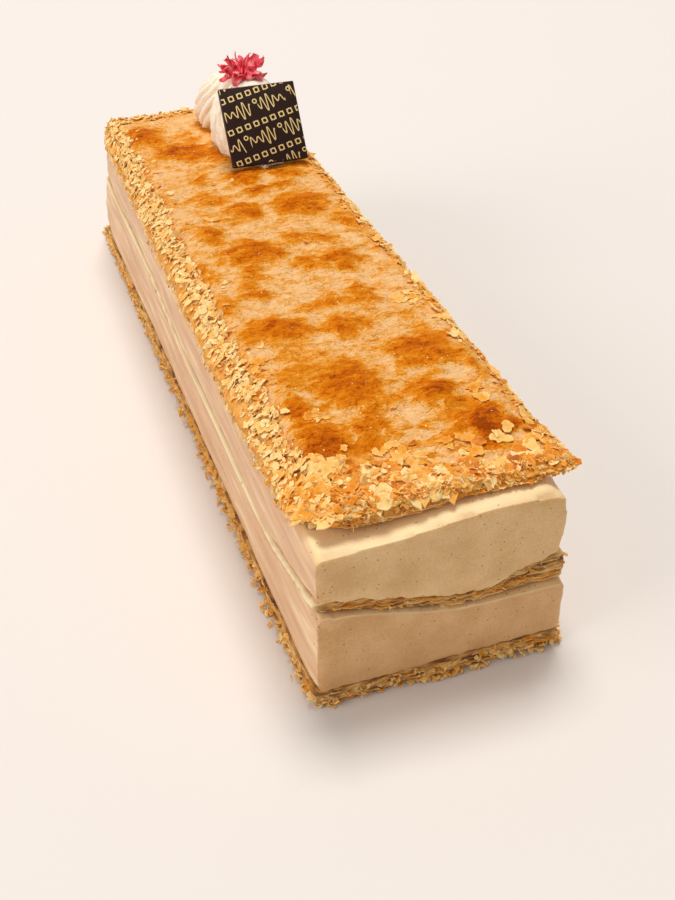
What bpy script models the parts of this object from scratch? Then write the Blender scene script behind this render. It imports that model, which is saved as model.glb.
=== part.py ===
"""A long mille-feuille: three sheets of puff pastry and two layers of vanilla cream, with a piped
cream rosette, dried petals and a chocolate plaque at the back end of the glazed top sheet.

Metres, +Z up. The bar lies along Y with its cut front at -Y. The origin is on the table, under
the middle of the whole object."""

import math
import random

import bmesh
import bpy
from mathutils import Matrix, Vector, noise

MM = 0.001
GAP = 0.45 * MM                    # air between one piece and the next

# The bar
CREAM_WIDTH = 90 * MM
CREAM_FRONT = -184.5 * MM          # the cut face
CREAM_BACK = 184.8 * MM            # at table height
BACK_LEAN = 15 * MM                # how far the back end leans forward over the bar's height
BACK_FLARE = 2.5 * MM              # the foot spreads at the back, and the top draws in
FLARE_HEIGHT = 30 * MM             # height at which the back end has the plain cream width
BAR_HEIGHT = 75 * MM
CORNER_PULL = 1.2 * MM             # how far the upright corners are rounded off

# The bottom sheet
BOTTOM_THICKNESS = 6.2 * MM
BOTTOM_TILT = 0.8 * MM             # thicker by this at the right edge, thinner at the left
BOTTOM_OVERHANG = 1.0 * MM         # past the cream, all round

# The middle sheet sags along the bar and tilts at the cut face
MIDDLE_LOW = 28.6 * MM             # its underside, in the front half of the bar
MIDDLE_RISE = 5.4 * MM             # how much higher its back half runs
MIDDLE_THICKNESS = 5.2 * MM
SIDE_PINCH = 0.72                  # share of it lost at the sides, where cream is smoothed over
CUT_LOW = 29 * MM                  # its underside at the right of the cut face
CUT_TILT = 11 * MM                 # how much higher that is at the left
CUT_REACH = 35 * MM                # how far behind the cut face the tilt fades out
CUT_GAPE = 6 * MM                  # how far its layers open at the right end of the cut face
MIDDLE_RECESS = 1.2 * MM           # its cut edge stands back from the cream
CUT_CROWD = 1.4                    # how much closer the grid is towards the cut face

# The upper cream
RIGHT_ROUND = 2.6                  # its right edges are rounder than the others by this factor
RIGHT_INSET = 4.5 * MM             # its right side stands in by this at the cut face
CREAM_TOP_LEFT = 64.9 * MM
CREAM_TOP_RIGHT = 69 * MM
CREAM_TOP_DROP = 2.8 * MM          # further fall along the left edge, under the crust's rim

# The top sheet
CRUST_TOP = 74 * MM
CRUST_WIDTH = 93 * MM
CRUST_FRONT = -179.5 * MM
CRUST_BACK = 181 * MM
CRUST_RECESS = 14 * MM             # its front left corner is torn back by this
LEFT_RIM = (10 * MM, 7.5 * MM)     # width of the falling rim, and how far it falls
OTHER_RIM = (5 * MM, 1.8 * MM)
BLISTER_HEIGHT = 1.3 * MM
# The largest blisters: x and y of the middle, then half the width across and along the bar, in mm
BLISTERS = (
    (30, -147, 7, 9), (19, -127, 8, 9), (24, -101, 12, 11), (-8, -114, 9, 16),
    (-28, -146, 9, 14), (-27, -110, 7, 13), (3, -75, 8, 8), (-18, -69, 9, 9),
    (20, -24, 8, 9), (-12, -7, 12, 10), (21, 31, 11, 13), (-6, 32, 8, 9),
    (-24, 17, 6, 8), (2, 67, 8, 8), (-16, 106, 12, 10), (-28, 131, 8, 13),
)

# The garnish
SEAT_TOP = 74.2 * MM               # the crust is flat under the rosette
FRONT_LOBE = {
    "centre": (19.5 * MM, 107 * MM), "half_width": 19.5 * MM, "forward": 38 * MM,
    "backward": 22 * MM, "height": 33 * MM, "ridges": 11, "twist": 0.5,
}
BACK_LOBE = {
    "centre": (17 * MM, 138 * MM), "half_width": 17.5 * MM, "forward": 18 * MM,
    "backward": 17 * MM, "height": 25 * MM, "ridges": 9, "twist": -0.6,
}
LOBE_ROUND = 2.3                   # exponent of the lobes' upright outline
RIDGE_DEPTH = 0.055                # of the lobe's radius
PLAQUE_SIDE = 36.8 * MM
PLAQUE_THICKNESS = 2.4 * MM
PLAQUE_FOOT = Vector((20 * MM, 71.3 * MM, 77.8 * MM))  # middle of its lower front edge
PLAQUE_LEAN = math.radians(35.7)   # back from upright
PETAL_RADIUS = (14.5 * MM, 12 * MM)
PETAL_CENTRE = (18.5 * MM, 112 * MM)
PETAL_HEIGHT = (3 * MM, 9 * MM)
PETAL_LIFT = 1.5 * MM              # clear of the rosette

BAR_LENGTH = CREAM_BACK - CREAM_FRONT


def ease(value):
    """0 below 0, 1 above 1, and a smooth step between them."""
    value = min(max(value, 0.0), 1.0)
    return value * value * (3 - 2 * value)


def wobble(x, y, size, seed):
    """Smooth noise between about -1 and 1, whose humps are as long as size."""
    return noise.noise(Vector((x / size, y / size, seed * 7.3)))


def near_cut(y, reach):
    """1 at the cut face, fading to 0 behind it."""
    return math.exp(-(((y - CREAM_FRONT) / reach) ** 2))


def material(name, colour, roughness):
    """A Principled material from an sRGB colour of three bytes."""
    made = bpy.data.materials.new(name)
    made.use_nodes = True
    shader = made.node_tree.nodes["Principled BSDF"]
    linear = [((part / 255 + 0.055) / 1.055) ** 2.4 for part in colour]
    shader.inputs["Base Color"].default_value = (*linear, 1)
    shader.inputs["Roughness"].default_value = roughness
    shader.inputs["Metallic"].default_value = 0
    return made


def finish(bm, name, surface):
    """Turns a bmesh into a scene object with its faces outwards."""
    bmesh.ops.recalc_face_normals(bm, faces=bm.faces)
    mesh = bpy.data.meshes.new(name)
    bm.to_mesh(mesh)
    bm.free()
    mesh.materials.append(surface)
    made = bpy.data.objects.new(name, mesh)
    bpy.context.scene.collection.objects.link(made)
    mesh.shade_smooth()
    mesh.set_sharp_from_angle(angle=math.radians(35))
    return made


# ---------------------------------------------------------------- the surfaces between the layers

def bottom_roof(x, y):
    tilt = BOTTOM_TILT * x / (CREAM_WIDTH / 2)
    return BOTTOM_THICKNESS + tilt + 0.35 * MM * wobble(x, y, 30 * MM, 1)


def middle_level(x, y):
    """The middle sheet's underside, before its sides are pinched."""
    along = MIDDLE_LOW + MIDDLE_RISE * ease((y + 10 * MM) / (75 * MM))
    along += 1.1 * MM * wobble(0.4 * x, y, 38 * MM, 2)
    cut = CUT_LOW + CUT_TILT * ease((12 * MM - x) / (56 * MM))
    return along + (cut - along) * near_cut(y, CUT_REACH)


def side_loss(x, y):
    """How much of the middle sheet's thickness is missing from each face at the bar's sides."""
    left = ease((-x - 40 * MM) / (4.5 * MM)) * (1 - near_cut(y, 8 * MM))
    right = ease((x - 38 * MM) / (7 * MM)) * (1 - near_cut(y, 35 * MM))
    return MIDDLE_THICKNESS / 2 * SIDE_PINCH * max(left, right)


def middle_floor(x, y):
    return middle_level(x, y) + side_loss(x, y)


def gape(x, y):
    """How far the middle sheet's layers stand open, towards the right of the cut face."""
    return CUT_GAPE * ease((x - 14 * MM) / (20 * MM)) * near_cut(y, 22 * MM)


def middle_roof(x, y):
    return middle_level(x, y) + MIDDLE_THICKNESS + gape(x, y) - side_loss(x, y)


def upper_cream_floor(x, y):
    """It hangs a little clear of the sheet where that stands open."""
    return middle_roof(x, y) + 1.5 * GAP + 0.2 * gape(x, y)


def cream_roof(x, y):
    across = ease((x + 26 * MM) / (42 * MM))
    level = CREAM_TOP_LEFT + (CREAM_TOP_RIGHT - CREAM_TOP_LEFT) * across
    drop = CREAM_TOP_DROP * ease((-x - 33 * MM) / (12 * MM)) * (1 - near_cut(y, 30 * MM))
    return level - drop + 0.5 * MM * wobble(x, y, 60 * MM, 3)


def seat_mask(x, y):
    """1 under the garnish, 0 well clear of it."""
    away = math.hypot((x - 18 * MM) / (26 * MM), (y - 112 * MM) / (52 * MM))
    return 1 - ease((away - 1) / 0.25)


def crust_roof(x, y):
    relief = 0.6 * MM * wobble(x, y, 16 * MM, 4) - 0.4 * MM
    for middle_x, middle_y, across, along in BLISTERS:
        away = math.hypot((x / MM - middle_x) / across, (y / MM - middle_y) / along)
        relief += BLISTER_HEIGHT * (1 - ease(away / 1.3))
    seat = seat_mask(x, y)
    return CRUST_TOP + relief * (1 - seat) + (SEAT_TOP - CRUST_TOP) * seat


# ------------------------------------------------------------------------------ the five layers

def ticks(count, edge, crowd=1.0):
    """Grid lines from -1 to 1, one of them close to each end. A crowd above 1 draws them to -1."""
    shares = [(step / (count - 2)) ** crowd for step in range(count - 1)]
    inner = [-1 + edge + (2 - 2 * edge) * share for share in shares]
    return [-1.0, *inner, 1.0]


def bar_plan(width, front, back, ragged, seed, front_edge=None, right_round=1, right_inset=0):
    """Where grid point (u, v) of a layer lies in plan at height z, moved outwards by out."""
    def place(u, v, z, out):
        along = (v + 1) / 2
        flare = BACK_FLARE * along ** 2 * (1 - z / FLARE_HEIGHT)
        x = u * (width / 2 + flare + out)
        if u > 0:
            inset = right_inset * near_cut(front + (back - front) * along, 45 * MM)
            x += u * (out * (right_round - 1) - inset)
        near = front - out + (front_edge(x) if front_edge else 0)
        far = back + out - BACK_LEAN * z / BAR_HEIGHT
        y = near + (far - near) * along
        x += u ** 9 * ragged * wobble(0, y, 9 * MM, seed)
        y += v ** 9 * ragged * wobble(x, 0, 9 * MM, seed + 1)
        pull = CORNER_PULL * (abs(u) * abs(v)) ** 14
        return x - math.copysign(pull, u), y - math.copysign(pull, v)
    return place


def slab(name, surface, columns, rows, plan, floor, roof, heights, levels, crowd=1.0):
    """A closed layer: a grid below, the same grid above, and rings of wall between them.

    levels holds (share of the height, outward offset) from bottom to top, and heights the
    layer's nominal lowest and highest z, from which the bar's lean follows."""
    across, along = ticks(columns, 0.05), ticks(rows, 0.012, crowd)
    bm = bmesh.new()

    def point(u, v, share, out):
        x, y = plan(u, v, heights[0] + (heights[1] - heights[0]) * share, out)
        low, high = floor(x, y), roof(x, y)
        return bm.verts.new((x, y, low + (high - low) * share))

    def sheet(share, out):
        return [[point(u, v, share, out) for v in along] for u in across]

    def rim(grid):
        near = [column[0] for column in grid]
        right = grid[-1][1:]
        far = [column[-1] for column in grid[-2::-1]]
        left = grid[0][-2:0:-1]
        return near + right + far + left

    edge = [(u, -1.0) for u in across] + [(1.0, v) for v in along[1:]]
    edge += [(u, 1.0) for u in across[-2::-1]] + [(-1.0, v) for v in along[-2:0:-1]]
    lower, upper = sheet(*levels[0]), sheet(*levels[-1])
    rings = [rim(lower)]
    for share, out in levels[1:-1]:
        rings.append([point(u, v, share, out) for u, v in edge])
    rings.append(rim(upper))
    for grid, turned in ((lower, True), (upper, False)):
        for i in range(columns):
            for j in range(rows):
                quad = [grid[i][j], grid[i + 1][j], grid[i + 1][j + 1], grid[i][j + 1]]
                bm.faces.new(quad[::-1] if turned else quad)
    for low, high in zip(rings, rings[1:]):
        for k in range(len(low)):
            bm.faces.new((low[k - 1], low[k], high[k], high[k - 1]))
    return finish(bm, name, surface)


def build_bottom_pastry(surface):
    plan = bar_plan(CREAM_WIDTH + 2 * BOTTOM_OVERHANG, CREAM_FRONT - BOTTOM_OVERHANG,
                    CREAM_BACK + BOTTOM_OVERHANG, 1.1 * MM, 20)
    levels = [(0, 0), (0.45, 0.3 * MM), (1, -0.8 * MM)]
    slab("bottom_pastry", surface, 8, 34, plan, lambda x, y: 0.0, bottom_roof,
         (0, BOTTOM_THICKNESS), levels)


def build_lower_cream(surface):
    plan = bar_plan(CREAM_WIDTH, CREAM_FRONT, CREAM_BACK, 0.35 * MM, 22)
    levels = [(0, -0.6 * MM), (0.08, 0), (0.5, 0.35 * MM), (0.93, 0), (1, -0.7 * MM)]
    slab("lower_cream", surface, 9, 26, plan, lambda x, y: bottom_roof(x, y) + GAP,
         lambda x, y: middle_floor(x, y) - GAP, (BOTTOM_THICKNESS, MIDDLE_LOW), levels, CUT_CROWD)


def build_middle_pastry(surface):
    plan = bar_plan(CREAM_WIDTH - 0.6 * MM, CREAM_FRONT + MIDDLE_RECESS, CREAM_BACK - 0.5 * MM,
                    0.5 * MM, 24)
    levels = [(0, -0.4 * MM), (0.5, 0.5 * MM), (1, -0.4 * MM)]
    slab("middle_pastry", surface, 9, 26, plan, middle_floor, middle_roof,
         (MIDDLE_LOW, MIDDLE_LOW + MIDDLE_THICKNESS), levels, CUT_CROWD)


def build_upper_cream(surface):
    plan = bar_plan(CREAM_WIDTH, CREAM_FRONT, CREAM_BACK, 0.35 * MM, 26,
                    right_round=RIGHT_ROUND, right_inset=RIGHT_INSET)
    levels = [(0, -1.2 * MM), (0.1, 0), (0.5, 0.5 * MM), (0.88, 0), (1, -1.9 * MM)]
    slab("upper_cream", surface, 9, 26, plan, upper_cream_floor, cream_roof,
         (MIDDLE_LOW + MIDDLE_THICKNESS, CREAM_TOP_RIGHT), levels, CUT_CROWD)


def torn_corner(x):
    """How far back the crust's front edge lies at x."""
    return CRUST_RECESS * max((-x - 27 * MM) / (20 * MM), 0) ** 1.6


def build_top_pastry(surface):
    plan = bar_plan(CRUST_WIDTH, CRUST_FRONT, CRUST_BACK, 1.5 * MM, 28, torn_corner)

    def fall(x, y, rim, edge_distance):
        width, depth = rim
        return depth * ease(1 - edge_distance / width)

    def roof(x, y):
        left = fall(x, y, LEFT_RIM, x + CRUST_WIDTH / 2)
        right = fall(x, y, OTHER_RIM, CRUST_WIDTH / 2 - x)
        near = fall(x, y, OTHER_RIM, y - CRUST_FRONT - torn_corner(x))
        far = fall(x, y, OTHER_RIM, CRUST_BACK - BACK_LEAN - y)
        return crust_roof(x, y) - max(left, right, near, far)

    levels = [(0, -0.8 * MM), (0.35, 0.6 * MM), (0.75, 0), (1, -1.6 * MM)]
    slab("top_pastry", surface, 13, 50, plan, lambda x, y: cream_roof(x, y) + GAP, roof,
         (CREAM_TOP_LEFT, CRUST_TOP), levels)


# ----------------------------------------------------------------------------------- the garnish

def lobe_point(lobe, turn, share):
    """A point of a piped lobe: turn goes round it, and share from its foot to its tip."""
    cx, cy = lobe["centre"]
    round_off = (1 - share ** LOBE_ROUND) ** (1 / LOBE_ROUND)
    tuck = 1 - 0.10 * (1 - ease(share / 0.25))
    depth = RIDGE_DEPTH * (1 - ease((share - 0.45) / 0.4))
    ridge = 1 + depth * math.cos(lobe["ridges"] * (turn + lobe["twist"] * share))
    radius = round_off * tuck * ridge
    reach = lobe["forward"] if math.sin(turn) < 0 else lobe["backward"]
    x = cx + lobe["half_width"] * radius * math.cos(turn)
    y = cy + reach * radius * math.sin(turn)
    return x, y, SEAT_TOP + GAP + lobe["height"] * share


def build_lobe(name, surface, lobe, sides, steps):
    bm = bmesh.new()
    turns = [2 * math.pi * k / sides for k in range(sides)]
    shares = [math.sin(0.5 * math.pi * k / steps) ** 1.15 for k in range(steps)]
    rings = [[bm.verts.new(lobe_point(lobe, turn, share)) for turn in turns] for share in shares]
    bm.faces.new(rings[0])
    for low, high in zip(rings, rings[1:]):
        for k in range(sides):
            bm.faces.new((low[k - 1], low[k], high[k], high[k - 1]))
    tip = bm.verts.new(lobe_point(lobe, 0, 1))
    for k in range(sides):
        bm.faces.new((rings[-1][k - 1], rings[-1][k], tip))
    return finish(bm, name, surface)


def helper(thing):
    """Marks an object that only shapes another."""
    thing.hide_render = True
    thing.display_type = "WIRE"
    return thing


def boolean(thing, operation, other):
    modifier = thing.modifiers.new(operation.title() + " " + other.name, "BOOLEAN")
    modifier.operation = operation
    modifier.object = other


def box(name, surface, low, high):
    bm = bmesh.new()
    bmesh.ops.create_cube(bm, size=1)
    size = Vector(high) - Vector(low)
    bmesh.ops.scale(bm, verts=bm.verts, vec=size)
    bmesh.ops.translate(bm, verts=bm.verts, vec=Vector(low) + size / 2)
    return finish(bm, name, surface)


def plaque_frame():
    """Origin at the middle of the plaque's lower front edge, X to the right, Y into it, Z up it."""
    return Matrix.Translation(PLAQUE_FOOT) @ Matrix.Rotation(-PLAQUE_LEAN, 4, "X")


def build_cream_rosette(surface):
    rosette = build_lobe("cream_rosette", surface, FRONT_LOBE, 33, 8)
    back = helper(build_lobe("back_lobe", surface, BACK_LOBE, 27, 6))
    boolean(rosette, "UNION", back)
    # Everything in front of the plaque's back face goes, down to its lower edge.
    reach = 60 * MM
    notch = helper(box("plaque_notch", surface, (-reach, -reach, -GAP),
                       (reach, PLAQUE_THICKNESS + GAP, reach)))
    notch.matrix_world = plaque_frame()
    boolean(rosette, "DIFFERENCE", notch)


def build_chocolate_plaque(surface):
    half = PLAQUE_SIDE / 2
    plaque = box("chocolate_plaque", surface, (-half, 0, 0), (half, PLAQUE_THICKNESS, PLAQUE_SIDE))
    plaque.matrix_world = plaque_frame()
    bevel = plaque.modifiers.new("Moulded edges", "BEVEL")
    bevel.width = 0.4 * MM
    bevel.segments = 2


def lobe_height(lobe, x, y):
    """How high the smooth lobe stands at (x, y)."""
    cx, cy = lobe["centre"]
    reach = lobe["forward"] if y < cy else lobe["backward"]
    away = math.hypot((x - cx) / lobe["half_width"], (y - cy) / reach)
    inside = max(1 - away ** LOBE_ROUND, 0.0)
    return SEAT_TOP + GAP + lobe["height"] * inside ** (1 / LOBE_ROUND)


def build_petal_garnish(surface):
    """A crumpled heap of dried petals, closed underneath over the rosette's tip."""
    rand = random.Random(5)
    sides, steps = 22, 4
    cx, cy = PETAL_CENTRE
    tips = [1.0 if k % 2 else rand.uniform(0.55, 0.8) for k in range(sides)]
    bm = bmesh.new()

    def sheet(lift):
        centre = bm.verts.new((cx, cy, lobe_height(FRONT_LOBE, cx, cy) + lift(0, 0)))
        rings = []
        for step in range(1, steps + 1):
            ring = []
            for k, tip in enumerate(tips):
                away = step / steps * (1 + (tip - 1) * (step / steps) ** 2)
                turn = 2 * math.pi * k / sides
                x = cx + PETAL_RADIUS[0] * away * math.cos(turn)
                y = cy + PETAL_RADIUS[1] * away * math.sin(turn)
                ring.append(bm.verts.new((x, y, lobe_height(FRONT_LOBE, x, y) + lift(step, k))))
            rings.append(ring)
        return centre, rings

    bulk = {}
    for step in range(steps + 1):
        for k in range(sides):
            fade = 1 - 0.75 * (step / steps) ** 2
            bulk[step, k] = rand.uniform(*PETAL_HEIGHT) * fade
    bulk[0, 0] = PETAL_HEIGHT[1]
    under = sheet(lambda step, k: PETAL_LIFT)
    over = sheet(lambda step, k: PETAL_LIFT + bulk[step, k])
    for centre, rings in (under, over):
        for k in range(sides):
            bm.faces.new((centre, rings[0][k - 1], rings[0][k]))
            for near, far in zip(rings, rings[1:]):
                bm.faces.new((near[k - 1], far[k - 1], far[k], near[k]))
    for k in range(sides):
        bm.faces.new((under[1][-1][k - 1], under[1][-1][k], over[1][-1][k], over[1][-1][k - 1]))
    finish(bm, "petal_garnish", surface)


# --------------------------------------------------------------------------------- the whole bar

def build():
    for thing in list(bpy.data.objects):
        bpy.data.objects.remove(thing)
    crust = material("glazed_puff_pastry", (222, 150, 72), 0.4)
    sheet = material("puff_pastry", (214, 170, 108), 0.7)
    cream = material("vanilla_pastry_cream", (226, 200, 154), 0.45)
    piped = material("whipped_cream", (243, 224, 198), 0.5)
    petal = material("dried_rose_petal", (200, 48, 78), 0.7)
    chocolate = material("dark_chocolate", (52, 32, 34), 0.35)
    build_bottom_pastry(sheet)
    build_lower_cream(cream)
    build_middle_pastry(sheet)
    build_upper_cream(cream)
    build_top_pastry(crust)
    build_cream_rosette(piped)
    build_petal_garnish(petal)
    build_chocolate_plaque(chocolate)


build()
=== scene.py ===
# %% [markdown]
# # A vanilla mille-feuille bar
# The real thing is a long bar of two deep layers of set vanilla cream between three sheets of
# puff pastry. The top sheet is glazed and browned in blisters, its edges are torn into flakes,
# and a piped rosette with dried petals and a printed chocolate plaque stands near the far end.
# The solids come ready made. This lesson dresses them, one piece and one finish at a time.

# %% The fixed frame
import math

import bpy
import numpy as np
from mathutils import Matrix, Vector, noise


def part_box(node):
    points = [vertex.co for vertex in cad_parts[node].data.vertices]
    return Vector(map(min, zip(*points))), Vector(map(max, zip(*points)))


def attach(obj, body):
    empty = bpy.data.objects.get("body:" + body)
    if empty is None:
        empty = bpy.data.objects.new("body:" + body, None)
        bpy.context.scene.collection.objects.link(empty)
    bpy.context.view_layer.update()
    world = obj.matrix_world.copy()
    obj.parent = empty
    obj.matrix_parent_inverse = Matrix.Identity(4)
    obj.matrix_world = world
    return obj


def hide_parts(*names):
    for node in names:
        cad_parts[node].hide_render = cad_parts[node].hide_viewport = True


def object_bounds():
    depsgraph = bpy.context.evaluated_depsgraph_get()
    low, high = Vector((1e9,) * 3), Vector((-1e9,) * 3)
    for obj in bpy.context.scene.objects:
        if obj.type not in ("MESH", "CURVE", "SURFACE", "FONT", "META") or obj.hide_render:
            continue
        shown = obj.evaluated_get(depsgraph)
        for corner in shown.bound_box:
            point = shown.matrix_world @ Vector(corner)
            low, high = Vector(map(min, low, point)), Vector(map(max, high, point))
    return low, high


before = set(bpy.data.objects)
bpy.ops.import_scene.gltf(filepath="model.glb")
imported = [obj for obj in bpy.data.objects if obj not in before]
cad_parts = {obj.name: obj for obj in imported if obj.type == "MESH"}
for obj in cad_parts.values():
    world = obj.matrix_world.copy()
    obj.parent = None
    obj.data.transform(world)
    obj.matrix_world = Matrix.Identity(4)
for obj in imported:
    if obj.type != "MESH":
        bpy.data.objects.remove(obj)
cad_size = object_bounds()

MM = 0.001
low, high = (np.array(corner) / MM for corner in cad_size)
print("bar of", np.round(high - low, 1), "mm")

# %% [markdown]
# ## Small tools
# Blender's operators act on whatever is selected, so one helper clears the selection and picks
# a piece. Lengths are in millimetres in this script and become metres only on the way in.

# %% Picking and copying a piece
SEW = 0.01 * MM     # corners nearer than this are sewn into one


def pick(piece):
    bpy.ops.object.select_all(action="DESELECT")
    piece.select_set(True)
    bpy.context.view_layer.objects.active = piece
    return piece


def apply(piece, kind, **settings):
    modifier = piece.modifiers.new(kind.title(), kind)
    for setting, value in settings.items():
        setattr(modifier, setting, value)
    pick(piece)
    bpy.ops.object.modifier_apply(modifier=modifier.name)


def sewn_copy(node, name):
    """A copy of a CAD node with its loose triangles sewn together."""
    piece = bpy.data.objects.new(name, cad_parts[node].data.copy())
    bpy.context.scene.collection.objects.link(piece)
    piece.data.materials.clear()
    pick(piece)
    bpy.ops.object.mode_set(mode="EDIT")
    bpy.ops.mesh.select_all(action="SELECT")
    bpy.ops.mesh.remove_doubles(threshold=SEW)
    bpy.ops.object.mode_set(mode="OBJECT")
    return piece


# %% Reading and moving a piece's points


def points_of(piece):
    flat = np.empty(3 * len(piece.data.vertices), np.float32)
    piece.data.vertices.foreach_get("co", flat)
    return flat.reshape(-1, 3).astype(float) / MM


def normals_of(piece):
    flat = np.empty(3 * len(piece.data.vertices), np.float32)
    piece.data.vertex_normals.foreach_get("vector", flat)
    return flat.reshape(-1, 3).astype(float)


def move_points(piece, points):
    piece.data.vertices.foreach_set("co", (points * MM).astype(np.float32).ravel())
    piece.data.update()


# %% Finishing a piece
SHARP = math.radians(50)    # edges sharper than this stay sharp


def paint(piece, name, values):
    """Stores one number a point, for a material to read."""
    layer = piece.data.attributes.new(name, "FLOAT", "POINT")
    layer.data.foreach_set("value", np.asarray(values, np.float32))


def dress(piece, material, slot, *nodes):
    """Gives a finished piece its material and its place in the frame."""
    piece.data.materials.clear()
    piece.data.materials.append(material)
    pick(piece)
    bpy.ops.object.shade_smooth_by_angle(angle=SHARP)
    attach(piece, "root")
    if nodes:
        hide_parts(*nodes)
    print(piece.name, len(piece.data.polygons), "faces")


# %% Soft steps and soft noise for shapes


def ease(value, start, end):
    """Rises smoothly from 0 at start to 1 at end, or falls where end is lower."""
    share = np.clip((value - start) / (end - start), 0, 1)
    return share * share * (3 - 2 * share)


def lumps(points, size, seed):
    """Noise from -1 to 1, its lumps about as large as size, one length or one for each axis."""
    scaled = np.asarray(points) / np.asarray(size) + 7.31 * seed
    return np.array([noise.noise(place) for place in scaled.tolist()])


# %% [markdown]
# ## Tools for finishes
# A material is a small tree of nodes. One helper adds a node, sets it and wires it up, and
# another turns the sRGB codes that a colour picker gives into the linear values that shading
# needs. Patterns use the object's own coordinates, in metres, so a scale is one over a size.

# %% Colours and nodes


def colour(code):
    channels = [int(code[start : start + 2], 16) / 255 for start in (0, 2, 4)]
    linear = [c / 12.92 if c <= 0.04045 else ((c + 0.055) / 1.055) ** 2.4 for c in channels]
    return (*linear, 1.0)


def add(tree, kind, *wires, out=0, stops=(), **settings):
    """Adds a node and gives back one of its outputs. Each wire names an input and what goes
    in, a socket or a value. Stops are the places and colours of a colour ramp. In a mix of
    colours, inputs 0, 6 and 7 are the share and the two colours, and output 2 is the result."""
    node = tree.nodes.new("ShaderNode" + kind)
    for setting, value in settings.items():
        setattr(node, setting, value)
    for place, value in wires:
        if isinstance(value, bpy.types.NodeSocket):
            tree.links.new(value, node.inputs[place])
        else:
            node.inputs[place].default_value = value
    if stops:
        ramp = node.color_ramp.elements
        ramp.remove(ramp[1])
        ramp[0].position = stops[0][0]
        ramp[0].color = colour(stops[0][1])
    for place, code in stops[1:]:
        ramp.new(place).color = colour(code)
    return node.outputs[2 if kind == "Mix" else out]


def per_mm(size):
    """The scale of a pattern whose repeat is this many millimetres."""
    return 1 / (size * MM)


# %% Starting a finish


def finish(name, roughness, **shader_settings):
    """A new material with its tree, its shader and the object's own coordinates."""
    material = bpy.data.materials.new(name)
    material.use_nodes = True
    tree = material.node_tree
    shader = tree.nodes["Principled BSDF"]
    shader.inputs["Roughness"].default_value = roughness
    for setting, value in shader_settings.items():
        shader.inputs[setting.replace("_", " ")].default_value = value
    place = tree.nodes.new("ShaderNodeTexCoord").outputs["Object"]
    print("finish:", name)
    return material, tree, shader, place


def surface(tree, shader, colours, height, strength, depth):
    """Gives the shader its colours, and a relief that is this many millimetres deep."""
    tree.links.new(colours, shader.inputs["Base Color"])
    bump = add(tree, "Bump", ("Strength", strength), ("Distance", depth * MM), ("Height", height))
    tree.links.new(bump, shader.inputs["Normal"])


def summed(tree, base, *patterns):
    """The base and patterns added up, each pattern by its own share, a number or a socket."""
    for pattern, share in patterns:
        base = add(tree, "Math", (0, pattern), (1, share), (2, base), operation="MULTIPLY_ADD")
    return base


# %% [markdown]
# ## Camera, floor and light
# The bar is seen from its cut end, a little from the left and well above. A large lamp hangs
# high up beyond its far end, so that the crust's edge shades the cream under it and the cut
# face is a tone darker than the top, and a broad weak one keeps the long left side bright.

# %% Camera
TURN = math.radians(-19.42)
RISE = math.radians(36.94)
AIM = Vector((24.8, -9.0, -36.0)) * MM
AWAY = 550.5 * MM
LENS = 45.94
SENSOR = 36

back = Vector((math.sin(TURN) * math.cos(RISE), -math.cos(TURN) * math.cos(RISE), math.sin(RISE)))
bpy.ops.object.camera_add(location=AIM + AWAY * back, rotation=(math.pi / 2 - RISE, 0, TURN))
camera = bpy.context.object
camera.data.lens = LENS
camera.data.sensor_width = SENSOR
bpy.context.scene.camera = camera
bpy.context.scene.view_settings.view_transform = "Standard"
print("camera", round(AWAY / MM), "mm from what it looks at")

# %% Floor and lamps
FLOOR_SIDE = 8.0
SKY_STRENGTH = 0.4

bpy.ops.mesh.primitive_plane_add(size=FLOOR_SIDE)
floor = bpy.context.object
floor.name = "floor"
# Matt paper shows soft shadows and no reflections.
paper = finish("matt paper", 0.8, Base_Color=colour("E8E3DF"))[0]
floor.data.materials.append(paper)


def lamp(name, direction, distance, side, power, tint):
    """A square lamp that shines on the middle of the bar from this direction."""
    towards = Vector(direction).normalized()
    bpy.ops.object.light_add(type="AREA", location=towards * distance)
    made = bpy.context.object
    made.name = name
    made.rotation_euler = towards.to_track_quat("Z", "Y").to_euler()
    made.data.size = side
    made.data.energy = power
    made.data.color = colour(tint)[:3]
    print("lamp:", name, power, "W")


lamp("key", (0.1, 0.28, 0.95), 4.0, 1.4, 108, "FFFAF4")
lamp("fill", (-1.0, -0.08, 0.5), 3.0, 1.8, 34, "FFF4EE")
world = bpy.data.worlds.new("studio")
bpy.context.scene.world = world
world.use_nodes = True
world.node_tree.nodes["Background"].inputs["Color"].default_value = colour("FFFBF7")
world.node_tree.nodes["Background"].inputs["Strength"].default_value = SKY_STRENGTH

# %% [markdown]
# ## The two creams
# Set vanilla cream is cut with a knife, so its faces are nearly flat with soft corners, a
# slight waviness and, along the sides, drag marks of the spatula. Marks in the material alone
# would leave the outline ruled straight, so the solid is remeshed into even small faces,
# smoothed, and then pushed in and out a little by noise.

# %% Patterns that two finishes share


def specks(tree, place, spacing, radius, share):
    """1 on round specks and 0 elsewhere, with one at most in each cell of the spacing."""
    cells = add(tree, "TexVoronoi", ("Vector", place), ("Scale", per_mm(spacing)))
    spot = add(tree, "Math", (0, cells), (1, radius / spacing), operation="LESS_THAN")
    kept = add(tree, "SeparateColor", ("Color", cells.node.outputs["Color"]))
    kept = add(tree, "Math", (0, kept), (1, share), operation="LESS_THAN")
    return add(tree, "Math", (0, spot), (1, kept), operation="MULTIPLY")


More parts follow.
